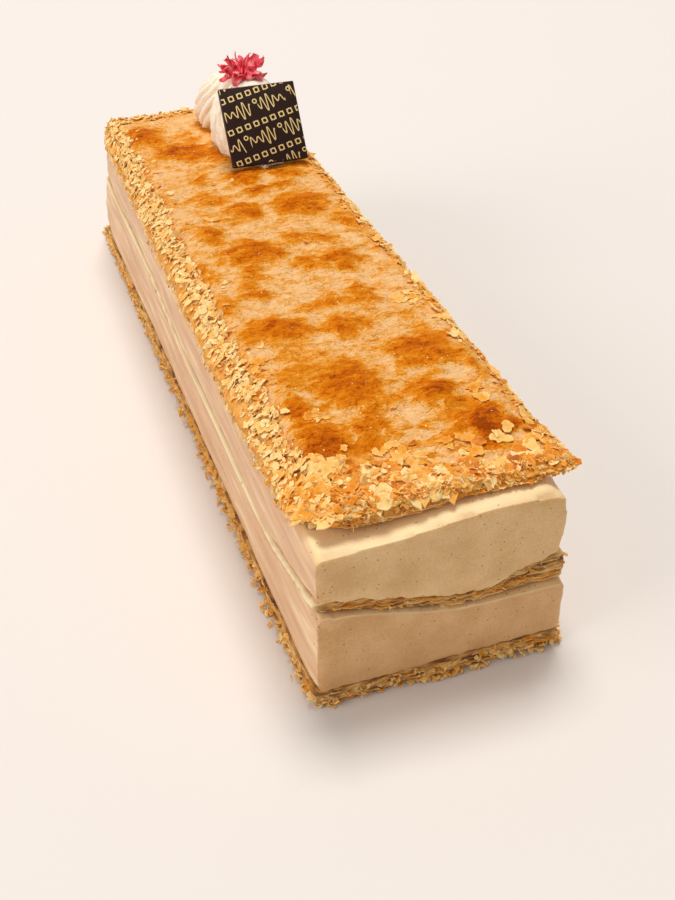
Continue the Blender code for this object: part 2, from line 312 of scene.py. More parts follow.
def side_streaks_and_shade(tree, place):
    """Streaks that a spatula drags along the bar: how strong they are, and their colours,
    which also hold painted shade and pink reflected light for the sides.
    """
    drag = add(tree, "Mapping", ("Vector", place), ("Scale", (1.0, 0.1, 1.0)))
    streaks = add(tree, "TexNoise", ("Vector", drag), ("Scale", per_mm(4)), ("Detail", 4.0))
    # Greyer and pinker than the cream: the spatula's smear, with painted shade and pink reflected
    # light on the sides.
    stops = ((0.36, "D6A880"), (0.56, "E4BC92"), (0.68, "F2D6AA"))
    return streaks, add(tree, "ValToRGB", ("Fac", streaks), stops=stops)


# %% Cream finish


def cream_finish(name, tones):
    """Set vanilla cream: satin and slightly see-through, with ground vanilla all through it."""
    material, tree, shader, place = finish(
        name, 0.48, Subsurface_Weight=0.35, Subsurface_Scale=4 * MM,
        Subsurface_Radius=(1.0, 0.6, 0.3), IOR=1.4,
    )
    cloudy = add(tree, "TexNoise", ("Vector", place), ("Scale", per_mm(14)), ("Detail", 3.0))
    grain = add(tree, "TexNoise", ("Vector", place), ("Scale", per_mm(0.8)), ("Detail", 3.0))
    cloudy = summed(tree, cloudy, (grain, 0.6))
    body = add(tree, "ValToRGB", ("Fac", cloudy), stops=tuple(zip((0.6, 0.8, 1.0), tones)))
    # Painted light: what looks up is paler, as if lit from above, and the sides have the spatula's
    # streaks.
    painted_top_light = add(tree, "Attribute", out="Fac", attribute_name="painted_top_light")
    body = add(tree, "Mix", (0, painted_top_light), (6, body), (7, colour("FFE7B6")), data_type="RGBA")
    # The sides take the streaks' colours, which hold painted shade and reflected light.
    side = add(tree, "Attribute", out="Fac", attribute_name="side")
    streaks, smear = side_streaks_and_shade(tree, place)
    streaked_and_shaded_sides = add(tree, "Mix", (0, side), (6, body), (7, smear), data_type="RGBA")
    # Ground vanilla seeds are about 0.3 mm across, and are drawn up to 0.55 mm so that they show.
    seeds = specks(tree, place, 2.2, 0.275, 0.45)
    seeds = add(tree, "Math", (0, seeds), (1, 0.7), operation="MULTIPLY")
    speckled = add(tree, "Mix", (0, seeds), (6, streaked_and_shaded_sides), (7, colour("6A4420")), data_type="RGBA")
    pull = add(tree, "Math", (0, streaks), (1, side), operation="MULTIPLY")
    rough = summed(tree, pull, (grain, 0.3))
    surface(tree, shader, speckled, rough, 0.5, 0.5)
    return material


upper_finish = cream_finish("set vanilla cream", ("DAB076", "E5BE86", "EFCB94"))
# The lower layer's darker, more orange tones are painted orange reflected light from below.
lower_cream_with_painted_bounce = cream_finish("set vanilla cream, painted_orange_bounce", ("D4A268", "DFB078", "E9BE88"))

# %% Cream layers
CREAM_GRAIN = 1.15
CUT_REACH = 2.2     # how far behind the foremost point the cut face reaches
CUT_LEFT = 0.35     # the share of the solid's unevenness that the knife left there
WAVE = 0.25
DRAG = 0.35


def cream_layer(node, name, finished, seed):
    """One layer of cream: cut flat in front, waved all round and dragged along its sides."""
    layer = sewn_copy(node, name)
    apply(layer, "REMESH", mode="VOXEL", voxel_size=CREAM_GRAIN * MM)
    apply(layer, "SMOOTH", factor=0.5, iterations=2)
    points = points_of(layer)
    normals = normals_of(layer)
    front = points[:, 1].min()
    cut = (normals[:, 1] < -0.15) & (points[:, 1] < front + CUT_REACH)
    points[cut, 1] = front + CUT_LEFT * (points[cut, 1] - front)
    outer = ease(np.abs(normals[:, 0]), 0.6, 0.9)
    back_end = 0.35 * ease(normals[:, 1], 0.6, 0.9)
    side = np.maximum(outer, back_end)
    wave = WAVE * lumps(points, 16, seed)
    drag = DRAG * lumps(points, (4, 26, 3.5), seed + 1)
    points += normals * (wave + side * drag)[:, None]
    # A little cream hangs here and there from the lower edge of the cut face.
    lip = ease(-normals[:, 2], 0.05, 0.5) * ease(points[:, 1], front + 5, front + 1)
    points[:, 2] -= lip * np.maximum(0.4 + 1.3 * lumps(points, (3, 8, 8), seed + 6), 0)
    move_points(layer, points)
    # The side mask also carries painted shade and reflected light onto the sides.
    paint(layer, "side", side)
    # Painted light: faces that look up are stored as paler, as if lit from above.
    paint(layer, "painted_top_light", 0.7 * ease(normals[:, 2], 0.5, 0.85))
    dress(layer, finished, "vanilla_cream", node)


cream_layer("lower_cream", "lower_vanilla_cream", lower_cream_with_painted_bounce, 1)
cream_layer("upper_cream", "upper_vanilla_cream", upper_finish, 3)

# %% [markdown]
# ## The glazed crust
# The top sheet puffed in the oven: it blistered, the blisters browned under the sugar glaze,
# and the skin wrinkled across the bar between them. Plain noise would brown it evenly all
# over, so each blister is listed with its half width, half length and how dark it baked.
# The same numbers raise the surface and, stored at each point, colour it.

# %% Blisters
# Each blister: x, y, half width, half length, and how dark it baked, from 0 to 1
BLISTERS = (
    (31, -147, 7, 10, 0.9), (20, -127, 8, 9, 0.95), (26, -152, 8, 11, 0.7),
    (25, -100, 13, 12, 0.95), (4, -75, 8, 8, 0.85), (4, -56, 8, 5, 0.6),
    (18, -55, 5, 10, 0.6), (-19, -70, 10, 10, 0.95), (21, -24, 9, 9, 0.85),
    (7.5, -22, 4, 7, 0.8), (-12, -7, 13, 10, 0.9), (-21, -38, 6, 9, 0.65),
    (-16, -22, 5, 7, 0.6), (-35, -47, 4, 8, 0.6), (-36, -15, 4, 12, 0.55),
    (-7, -113, 10, 17, 0.95), (-9, -142, 5, 9, 0.7), (-28, -145, 10, 15, 0.95),
    (-30, -120, 6, 8, 0.9), (-25, -102, 7, 7, 0.65), (-16, -91, 6, 7, 0.4),
    (19, -3, 9, 4, 0.6), (-9, -161, 4, 4, 0.8), (-31, -160, 6, 6, 0.7),
    (10, 2.5, 5, 6, 0.6), (22, 31, 11, 13, 0.95), (7, 51, 4, 6, 0.9),
    (-5, 32, 8, 9, 0.9), (-25, 16, 6, 8, 0.9), (36, 7.5, 6, 9, 0.6),
    (-16, 50, 8, 7, 0.65), (19, 55, 5, 4, 0.6), (27, 65, 7, 6, 0.7),
    (2.5, 67, 8, 8, 0.9), (-15, 71, 5, 4, 0.6), (0, 95, 5, 8, 0.7),
    (-10, 85, 6, 4, 0.4), (-16, 106, 13, 11, 0.95), (-28, 131, 9, 13, 0.95),
    (-10, 121, 4, 11, 0.4), (4, 132, 4, 7, 0.6), (-40, 87, 4, 10, 0.7),
    (-36, 55, 4, 8, 0.6), (39, -115, 3, 9, 0.6), (38, -16, 3, 6, 0.4),
    # These two, at the plaque's foot, are browning and also painted shade where the plaque shades
    # the crust.
    (14, 72, 9, 5, 0.8), (34, 73, 7, 5, 0.8),
)
SPREAD_ACROSS = 1.5     # a blister's browning fades out this far past its half width
SPREAD_ALONG = 1.4
print(len(BLISTERS), "blisters")

# %% Where the crust browned and where it tore


def browning(points):
    """How dark each point of the crust baked, from 0 to 1."""
    drift = 4.0 * lumps(points, 10, 11) + 3.0 * lumps(points, 3.4, 13)
    slide = 3.5 * lumps(points, 10, 12) + 2.2 * lumps(points, 3.0, 14)
    pale = np.ones(len(points))
    for x, y, half_across, half_along, dark in BLISTERS:
        across = (points[:, 0] + drift - x) / (SPREAD_ACROSS * half_across)
        along = (points[:, 1] + slide - y) / (SPREAD_ALONG * half_along)
        pale *= 1 - 0.9 * dark * ease(np.hypot(across, along), 1.15, 0.15)
    return 1 - pale


def tornness(points):
    """How far each point belongs to the flaky edge, from 0 to 1."""
    x, y = points[:, 0], points[:, 1]
    ragged = 3.0 * lumps(points * (1, 1, 0), 10, 21)
    left = ease(x + 0.8 * ragged, -34.0, -38.5)
    right = ease(x + 0.6 * ragged, 38.5, 42)
    front = ease(y + 1.6 * ragged + 0.06 * x, -165, -173)
    rear = ease(y + ragged, 151, 157)
    corner = 0.9 * ease(np.hypot(x + 30, (y + 178) * 1.1) + 2 * ragged, 32, 18)
    return np.max((left, right, front, rear, corner), axis=0)


# %% Crust finish
EVEN = -1.23    # takes away most of the patterns' own mean, so that they shift both ways


def crust_finish():
    """Baked puff pastry under a sugar glaze: matt and pale between the blisters, and amber
    and a little glossier on them."""
    material, tree, shader, place = finish("glazed puff pastry", 0.5, Specular_IOR_Level=0.03)
    brown = add(tree, "Attribute", out="Fac", attribute_name="brown")
    torn = add(tree, "Attribute", out="Fac", attribute_name="torn")
    peeling = add(tree, "Attribute", out="Fac", attribute_name="peeling")
    # The mottle is as coarse as the small bubbles of the dough, the scraps as a leaf's chips.
    across = add(tree, "Mapping", ("Vector", place), ("Scale", (0.55, 1.0, 1.0)))
    mottle = add(tree, "TexNoise", ("Vector", across), ("Scale", per_mm(5)), ("Detail", 8.0))
    speck = add(tree, "TexNoise", ("Vector", place), ("Scale", per_mm(0.7)), ("Detail", 2.0))
    wrinkle = add(
        tree, "TexNoise", ("Vector", across), ("Scale", per_mm(2.2)),
        ("Detail", 4.0), ("Distortion", 1.5),
    )
    scraps = add(tree, "TexVoronoi", ("Vector", place), ("Scale", per_mm(1.8)))
    scrap = add(tree, "SeparateColor", ("Color", scraps.node.outputs["Color"]))
    shift = summed(tree, EVEN, (mottle, 1.3), (wrinkle, 0.7), (speck, 0.6), (scrap, 0.1))
    baked = add(tree, "Math", (0, brown), (1, shift), operation="ADD")
    # Loose skins: patches of some 5 mm with ragged edges, each at its own height and shade.
    frayed = add(tree, "TexNoise", ("Vector", place), ("Scale", per_mm(3)), ("Detail", 4.0))
    frayed = add(tree, "Math", (0, frayed), (1, 5 * MM), operation="MULTIPLY")
    frayed = add(tree, "VectorMath", (0, place), (1, frayed), operation="ADD")
    skins = add(tree, "TexVoronoi", ("Vector", frayed), ("Scale", per_mm(5.5)))
    plate = add(tree, "SeparateColor", ("Color", skins.node.outputs["Color"]))
    plate = add(tree, "Math", (0, plate), (1, -0.22), operation="ADD")
    plate = add(tree, "Math", (0, plate), (1, peeling), operation="MULTIPLY")
    # Fine creases where the skin folded, a few millimetres apart and broken here and there.
    folds = add(
        tree, "TexVoronoi", ("Vector", frayed), ("Scale", per_mm(3.4)), feature="DISTANCE_TO_EDGE"
    )
    clamped = {"operation": "MULTIPLY_ADD", "use_clamp": True}
    folds = add(tree, "Math", (0, folds), (1, -9), (2, 1), **clamped)
    broken = add(tree, "Math", (0, wrinkle), (1, 4), (2, -1.6), **clamped)
    folds = add(tree, "Math", (0, folds), (1, broken), operation="MULTIPLY")
    baked = summed(tree, baked, (plate, 0.45), (folds, 0.17))
    shade = add(tree, "Math", (0, baked), (1, 0.8), operation="MULTIPLY")
    skin = add(
        tree, "ValToRGB", ("Fac", shade),
        stops=(
            (0.0, "EEC086"), (0.144, "EAB270"), (0.288, "E49C3C"), (0.416, "DD8616"),
            (0.6, "D27204"), (0.8, "BE5A00"), (1.0, "984000"),
        ),
    )
    # Painted highlights: pale specks stand for the glints of grains of sugar that didn't melt,
    # up to half a millimetre across.
    sugar = specks(tree, place, 2.6, 0.26, 0.3)
    skin = add(tree, "Mix", (0, sugar), (6, skin), (7, colour("FFEBC4")), data_type="RGBA")
    leaf = add(
        tree, "ValToRGB", ("Fac", mottle), stops=((0.3, "D07A1C"), (0.5, "EAA246"), (0.7, "F6C87C"))
    )
    blend = add(tree, "Math", (0, torn), (1, 0.8), operation="MULTIPLY")
    top = add(tree, "Mix", (0, blend), (6, skin), (7, leaf), data_type="RGBA")
    relief = summed(
        tree, mottle, (wrinkle, 0.9), (speck, 0.35), (scraps, 0.35), (plate, 1.2), (folds, -0.5)
    )
    surface(tree, shader, top, relief, 0.75, 1.0)
    tree.links.new(summed(tree, 0.62, (baked, -0.2)), shader.inputs["Roughness"])
    return material


glazed = crust_finish()

# %% Crust
CRUST_GRAIN = 0.95
PUFF = 1.4      # how far the darkest blister rises
SET_BACK = 1.2  # how far the crust's front makes room for the flakes that cover it

crust = sewn_copy("top_pastry", "glazed_crust")
apply(crust, "REMESH", mode="VOXEL", voxel_size=CRUST_GRAIN * MM)
apply(crust, "SMOOTH", factor=0.5, iterations=3)
crust_points = points_of(crust)
crust_low, crust_high = crust_points.min(axis=0), crust_points.max(axis=0)
near_front = ease(crust_points[:, 1], crust_low[1] + 16, crust_low[1])
undercut = 0.4 * np.maximum(crust_high[2] - 3 - crust_points[:, 2], 0)
crust_points[:, 1] += near_front * (SET_BACK + undercut)
facing_up = ease(normals_of(crust)[:, 2], 0.3, 0.75)
brown = browning(crust_points)
torn = tornness(crust_points)
rise = PUFF * brown + 0.6 * lumps(crust_points, 7, 31) + 0.45 * lumps(crust_points, 3, 32)
rise += 0.28 * lumps(crust_points, (15, 2.4, 6), 33)
crust_points[:, 2] += facing_up * (rise * (1 - 0.6 * torn) - 0.4 * torn)
move_points(crust, crust_points)
paint(crust, "brown", 0.86 * brown * (1 - 0.55 * torn))
paint(crust, "torn", torn)
# Loose skins show most near the front and at the torn edges, and a little everywhere.
peeling = ease(crust_points[:, 1] + 6 * lumps(crust_points, 14, 35), -105, -150)
paint(crust, "peeling", np.maximum(np.maximum(peeling, torn), 0.3))
dress(crust, glazed, "glazed_crust", "top_pastry")

# %% [markdown]
# ## Torn flakes
# The edges of each sheet are thousands of torn bits of leaf, each as thin as paper and curled
# its own way. Each could be a particle, but the pieces have to be plain meshes. So a few chips,
# scales and leaves are modelled once, as a crumpled disc torn along nearly straight lines, with
# a wall thickness. Copies are turned, bent and scaled, and joined into one piece for each place.

# %% One torn shape
LEAF_WALL = 0.05    # of the flake's own width

rng = np.random.default_rng(7)


def torn_shape(seed, corners, tears, ragged, crumple):
    """Corners, triangles and nearness to the torn edge of one crumpled flake, about 1 across."""
    bpy.ops.object.select_all(action="DESELECT")
    bpy.ops.mesh.primitive_circle_add(vertices=corners, radius=0.5, fill_type="NGON")
    flake = bpy.context.object
    bpy.ops.object.mode_set(mode="EDIT")
    bpy.ops.mesh.select_all(action="SELECT")
    bpy.ops.mesh.inset(thickness=0.12)
    bpy.ops.mesh.poke()
    bpy.ops.mesh.select_all(action="SELECT")
    bpy.ops.transform.vertex_random(offset=crumple, uniform=1.0, seed=seed)
    bpy.ops.object.mode_set(mode="OBJECT")
    flat = points_of(flake) * MM
    reach = np.hypot(flat[:, 0], flat[:, 1])
    bearing = flat / np.maximum(reach, 0.01)[:, None]
    # Torn along a few nearly straight lines, with small teeth.
    outline = np.full(len(flat), 0.62)
    for tear in range(tears):
        turn = math.tau * (tear + rng.uniform(-0.4, 0.4)) / tears
        facing = bearing[:, 0] * math.cos(turn) + bearing[:, 1] * math.sin(turn)
        outline = np.minimum(outline, rng.uniform(0.22, 0.5) / np.maximum(facing, 0.2))
    outline *= 1 + ragged * rng.normal(size=len(flat)) * ease(reach, 0.4, 0.5)
    flat[:, :2] *= (outline / 0.5)[:, None]
    flat[:, 2] += 0.1 * ease(reach, 0.3, 0.5) * lumps(bearing, 0.6, seed + 2)
    move_points(flake, flat / MM)
    apply(flake, "SOLIDIFY", thickness=LEAF_WALL, offset=0)
    flake.data.calc_loop_triangles()
    points = points_of(flake) * MM
    triangles = np.array([tuple(t.vertices) for t in flake.data.loop_triangles])
    bpy.data.objects.remove(flake)
    return points, triangles, np.tile(ease(reach, 0.3, 0.5), 2)


chips = [torn_shape(seed, 7 + seed % 3, 5, 0.08, 0.08) for seed in range(1, 6)]
leaves = [torn_shape(seed, 16, 4, 0.13, 0.03) for seed in range(11, 23)]
scales = [torn_shape(seed, 12, 5, 0.08, 0.05) for seed in range(31, 41)]
print("triangles:", [len(kind[0][1]) for kind in (chips, scales, leaves)])


# %% Many flakes in one piece
OUTERMOST = high[:2] + (1.2, 1.8)   # how far out a flake may stand, across and along the bar
TABLE = 0.02                        # the lowest that a flake may lie


def unit(vectors):
    return vectors / np.linalg.norm(vectors, axis=1, keepdims=True)


def joined(name, points, faces, tones):
    """One piece of many flakes, with the tone of each at its points."""
    points = np.concatenate(points)
    points[:, 2] = np.maximum(points[:, 2], TABLE)
    mesh = bpy.data.meshes.new(name)
    mesh.from_pydata((points * MM).tolist(), [], faces)
    piece = bpy.data.objects.new(name, mesh)
    bpy.context.scene.collection.objects.link(piece)
    paint(piece, "tone", np.concatenate(tones))
    return piece


# %% Strewing flakes


def strew(name, shapes, at, up, along, length, width, curl, tone, ground=None):
    """One piece of many flakes: each lies at its point, with its own up and long direction.
    With a ground, each is laid over it instead, and bends where it bends."""
    up = unit(up)
    side = unit(np.cross(up, along))
    along = np.cross(side, up)
    shape = rng.integers(len(shapes), size=len(at))
    all_points, all_triangles, all_tones = [], [], []
    start = 0
    for number, (points, triangles, edge) in enumerate(shapes):
        mine = np.flatnonzero(shape == number)
        local = points[None] * np.stack((length, width, (length + width) / 2), 1)[mine][:, None]
        local[..., 2] += (curl * length)[mine][:, None] * points[None, :, 0] ** 2
        placed = at[mine][:, None] + local[..., :1] * along[mine][:, None]
        placed = placed + local[..., 1:2] * side[mine][:, None] + local[..., 2:] * up[mine][:, None]
        for axis in (0, 1):
            over = np.abs(placed[..., axis]).max(axis=1) - OUTERMOST[axis]
            placed[..., axis] -= (np.sign(at[mine, axis]) * np.maximum(over, 0))[:, None]
        if ground is not None:
            over = ground(placed[..., 0], placed[..., 1])
            placed[..., 2] = over + at[mine, 2:3] + local[..., 2]
        steps = start + len(points) * np.arange(len(mine))
        all_points.append(placed.reshape(-1, 3))
        all_triangles.append((triangles[None] + steps[:, None, None]).reshape(-1, 3))
        all_tones.append((tone[mine][:, None] - 0.2 * edge).ravel())
        start += len(points) * len(mine)
    return joined(name, all_points, np.concatenate(all_triangles).tolist(), all_tones)


def spots_on(points, weight, count):
    """Numbers of points picked at random, more often where the weight is high."""
    return rng.choice(len(points), size=count, p=weight / weight.sum())


# %% Flake finish


def flake_finish():
    """Baked leaf: thin, dry and golden, lighter where it baked less and brown at a few tips."""
    material, tree, shader, place = finish(
        "baked pastry leaf", 0.55, Specular_IOR_Level=0.2, Subsurface_Weight=0.15,
        Subsurface_Scale=1.5 * MM, Subsurface_Radius=(1.0, 0.7, 0.35),
    )
    # The tone is partly painted shade: flakes that lie low in a heap have a darker tone.
    tone = add(tree, "Attribute", out="Fac", attribute_name="tone")
    mottle = add(tree, "TexNoise", ("Vector", place), ("Scale", per_mm(1.8)), ("Detail", 3.0))
    shift = summed(tree, -0.25, (mottle, 0.5))
    baked = add(tree, "Math", (0, tone), (1, shift), operation="ADD")
    leaf = add(
        tree, "ValToRGB", ("Fac", baked),
        stops=((0.0, "FFE09C"), (0.3, "FCC46C"), (0.55, "F19E2C"), (0.8, "D67408"), (1.0, "A04A00")),
    )
    surface(tree, shader, leaf, mottle, 0.4, 0.3)
    return material


baked_leaf = flake_finish()

# %% [markdown]
# ## Where the flakes lie
# Torn chips and scales lie heaped on the crust's rims, thickest along the left side and at the
# cut front, and the larger leaves drape over what is under them. A flake that stays flat would
# stand off a rounded rim, so the draped ones follow a map of the crust's height, while the
# small ones are only tilted and lifted a little. Weights at the crust's points say where each
# kind lies.

# %% The crust's height
CELL = 1.3      # from one height of the map to the next
BEYOND = 14     # how far the map reaches past the crust
RINGS = 10      # how many cells past the crust's edge have a height of their own
DROOP = 0.4     # how far a leaf falls from one of those cells to the next

crust_points = points_of(crust)
crust_normals = normals_of(crust)
crust_reach = np.abs(crust_points[:, :2]).max(axis=0)


def height_over(points):
    """A function that gives the height of the crust's top, and droops beyond its edge."""
    origin = points[:, :2].min(axis=0) - BEYOND
    cells = np.round((points[:, :2] - origin) / CELL).astype(int)
    heights = np.full(cells.max(axis=0) + math.ceil(BEYOND / CELL) + 1, -np.inf)
    np.maximum.at(heights, (cells[:, 0], cells[:, 1]), points[:, 2])
    wide, long = heights.shape
    for _ in range(RINGS):
        padded = np.pad(heights, 1, constant_values=-np.inf)
        near = [padded[x : x + wide, y : y + long] for x in range(3) for y in range(3)]
        heights = np.where(np.isinf(heights), np.max(near, axis=0) - DROOP, heights)
    heights = np.where(np.isinf(heights), heights[np.isfinite(heights)].min(), heights)

    def height(x, y):
        across = np.clip((x - origin[0]) / CELL, 0, wide - 1.01)
        along = np.clip((y - origin[1]) / CELL, 0, long - 1.01)
        left, near = across.astype(int), along.astype(int)
        right, far = across - left, along - near
        front = heights[left, near] * (1 - right) + heights[left + 1, near] * right
        rear = heights[left, near + 1] * (1 - right) + heights[left + 1, near + 1] * right
        return front * (1 - far) + rear * far

    return height


ground = height_over(crust_points)
print("crust reaches", np.round(crust_reach, 1), "mm from its middle")

# %% Flakes laid on the crust


def draped_leaves(name, shapes, weight, count, sizes, lift, tones):
    """Thin leaves that lie on the crust and hang a little over its edge."""
    found = spots_on(crust_points, weight, count)
    at = crust_points[found].copy()
    at[:, 2] = rng.uniform(*lift, size=count)
    up = np.array((0, 0, 1)) + 0.01 * rng.normal(size=(count, 3))
    length = rng.uniform(*sizes, size=count)
    width = length * rng.uniform(0.5, 1.0, size=count)
    inward = np.sign(at[:, :2]) * ease(np.abs(at[:, :2]), crust_reach - 5, crust_reach)
    at[:, :2] -= inward * (0.35, 0.5) * length[:, None]
    tone = rng.normal(*tones, size=count)
    along = rng.normal(size=(count, 3))
    curl = rng.normal(0, 0.1, size=count)
    piece = strew(name, shapes, at, up, along, length, width, curl, tone, ground)
    dress(piece, baked_leaf, "puff_pastry")


# %% Flakes heaped on the crust


def crust_flakes(name, shapes, weight, count, sizes, tilt, lift, tones, hang=0):
    """Flakes over part of the crust: tilted off its surface and lifted a little from it."""
    found = spots_on(crust_points, weight, count)
    normals = crust_normals[found]
    up = normals + tilt * rng.normal(size=(count, 3))
    share = rng.uniform(size=count)
    at = crust_points[found] + normals * (lift[0] + (lift[1] - lift[0]) * share)[:, None]
    length = rng.uniform(*sizes, size=count)
    inward = np.sign(at[:, :2]) * ease(np.abs(at[:, :2]), crust_reach - 4, crust_reach)
    at[:, :2] -= inward * (0.4, 0.55) * length[:, None]
    at[:, 2] -= hang * rng.uniform(size=count) * ease(at[:, 0], -41, -45)
    width = length * rng.uniform(0.6, 1.0, size=count)
    curl = rng.normal(0, 0.35, size=count)
    tone = rng.normal(*tones, size=count) + 0.26 * ease(at[:, 1], -150, -172)
    # The lower a flake lies in the heap, the darker and more orange it is: painted shade in the
    # heap's gaps.
    tone = np.clip(tone + 0.4 * (0.5 - share), 0, 1)
    along = rng.normal(size=(count, 3))
    piece = strew(name, shapes, at, up, along, length, width, curl, tone)
    dress(piece, baked_leaf, "puff_pastry")


# %% Weights for the flakes
# Places on the crust where leaves came loose: x, y, how far around, and how many
LOOSE = (
    (-23, -128, 6, 0.5), (-20, 27, 5, 0.6), (-5, 66, 5, 0.5), (-28, -155, 10, 0.6),
    (-8, -160, 12, 0.45), (37, -62, 7, 0.5), (12, -158, 8, 0.3), (-34, -90, 5, 0.5),
    (34, -130, 6, 0.35), (-32, 90, 5, 0.5), (35, 20, 5, 0.3),
)

above = ease(crust_normals[:, 2], -0.5, 0.0)
loose = np.zeros(len(crust_points))
for x, y, around, share in LOOSE:
    away = np.hypot(crust_points[:, 0] - x, crust_points[:, 1] - y) / around
    loose = np.maximum(loose, share * facing_up * ease(away, 1.2, 0.3))
torn_weight = above * ease(torn, 0.35, 0.8) + 0.0015 * facing_up
front_share = ease(crust_points[:, 1], -150, -165)
left_share = ease(crust_points[:, 0], -26, -34)
left_weight = above * ease(torn, 0.3, 0.7) * left_share * (1 - 0.8 * front_share)
left_weight += 0.08 * facing_up * ease(crust_points[:, 0], -27, -36)
front_weight = torn_weight * front_share
lip_weight = front_weight * ease(crust_points[:, 1], -170, -178) + 0.3 * front_weight
print("share of the crust that is torn:", round(float((torn > 0.5).mean()), 2))

# %% Flakes of the crust's edges
crust_flakes(
    "crust_chips", chips, torn_weight, 1900,
    sizes=(1.2, 3.4), tilt=0.4, lift=(0.0, 0.9), tones=(0.36, 0.2), hang=4,
)
crust_flakes(
    "left_scales", scales, left_weight, 2000,
    sizes=(1.6, 4.3), tilt=0.4, lift=(0.1, 1.5), tones=(0.24, 0.18), hang=7,
)
draped_leaves(
    "left_leaves", scales, left_weight, 170,
    sizes=(2.5, 5.0), lift=(0.1, 1.2), tones=(0.26, 0.16),
)
crust_flakes(
    "crust_leaves", leaves, torn_weight, 330,
    sizes=(3.0, 6.5), tilt=0.25, lift=(0.1, 1.0), tones=(0.34, 0.18),
)
crust_flakes(
    "front_curls", scales, lip_weight, 800,
    sizes=(1.5, 4.6), tilt=0.9, lift=(0.2, 1.8), tones=(0.3, 0.2),
)
draped_leaves(
    "front_leaves", leaves, front_weight + 0.05 * front_share * facing_up, 560,
    sizes=(3.0, 9.5), lift=(0.1, 1.2), tones=(0.54, 0.2),
)
draped_leaves(
    "loose_leaves", leaves, loose, 90,
    sizes=(2.5, 7.5), lift=(0.1, 0.5), tones=(0.52, 0.14),
)

# %% [markdown]
# ## The middle and bottom sheets
# Both sheets are crushed stacks of thin leaves. Stripes in the material alone would leave the
# cut faces flat, so the solids are remeshed and roughened, and long leaves, each a ragged ledge
# that follows the edge, are stacked over them with chips between. On the long left side the
# knife dragged cream over the middle sheet, and only a thin pale line of it is left.

# %% Stacked leaf finish


def leaf_stack_and_gap_shade_finish():
    """Crushed puff pastry: thin golden leaves one over the other, with dark bands between them
    that are partly browned leaf and partly painted shade in the gaps.
    """
    material, tree, shader, place = finish("crushed puff pastry", 0.65)
    flat = add(tree, "Mapping", ("Vector", place), ("Scale", (0.16, 0.16, 1.0)))
    layers = add(tree, "TexNoise", ("Vector", flat), ("Scale", per_mm(1.1)), ("Detail", 4.0))
    # The darkest stops are painted shade in the gaps between the leaves, with some browning.
    stack = add(
        tree, "ValToRGB", ("Fac", layers),
        stops=((0.32, "5A3210"), (0.44, "A46C2C"), (0.56, "D2A054"), (0.7, "F0CE90")),
    )
    # Cream dragged over the left side, in the streaks' colours with their painted shade.
    smear = side_streaks_and_shade(tree, place)[1]
    seam = add(tree, "Attribute", out="Fac", attribute_name="seam")
    line = add(tree, "Mix", (0, seam), (6, smear), (7, colour("FFEBBE")), data_type="RGBA")
    smeared = add(tree, "Attribute", out="Fac", attribute_name="smeared")
    shown = add(tree, "Mix", (0, smeared), (6, stack), (7, line), data_type="RGBA")
    surface(tree, shader, shown, layers, 0.8, 0.8)
    return material


crushed = leaf_stack_and_gap_shade_finish()

# %% One ledge
STEP = 0.7              # from one corner of a ledge to the next, along its edge
LEDGE_DEPTH = 3.0
LEDGE_THICK = 0.4
LEDGES_APART = 26       # steps from the start of one ledge to the start of the next
NOWHERE = -1000.0       # the reach of a sheet that has no point at a height


def ledge(path, outward, seed):
    """Corners and faces of one leaf: a closed strip that lies along a path and reaches out."""
    count = len(path)
    ragged = 0.7 * lumps(path, 2.2, seed) + 0.5 * lumps(path, 0.9, seed + 1)
    droop = 0.5 * lumps(path, 6, seed + 2)
    out = path + outward * ragged[:, None] + (0, 0, 1) * droop[:, None]
    inner = path - outward * LEDGE_DEPTH
    half = np.array((0, 0, LEDGE_THICK / 2))
    rings = np.stack((out + 0.5 * half, inner + half, inner - half, out - 0.5 * half), axis=1)
    faces = []
    for step in range(count - 1):
        for corner in range(4):
            one, two = 4 * step + corner, 4 * step + (corner + 1) % 4
            faces.append((one, two, two + 4, one + 4))
    faces.append((3, 2, 1, 0))
    faces.append(tuple(4 * (count - 1) + corner for corner in range(4)))
    return rings.reshape(-1, 3), faces


# %% Ledges stacked over a sheet's sides


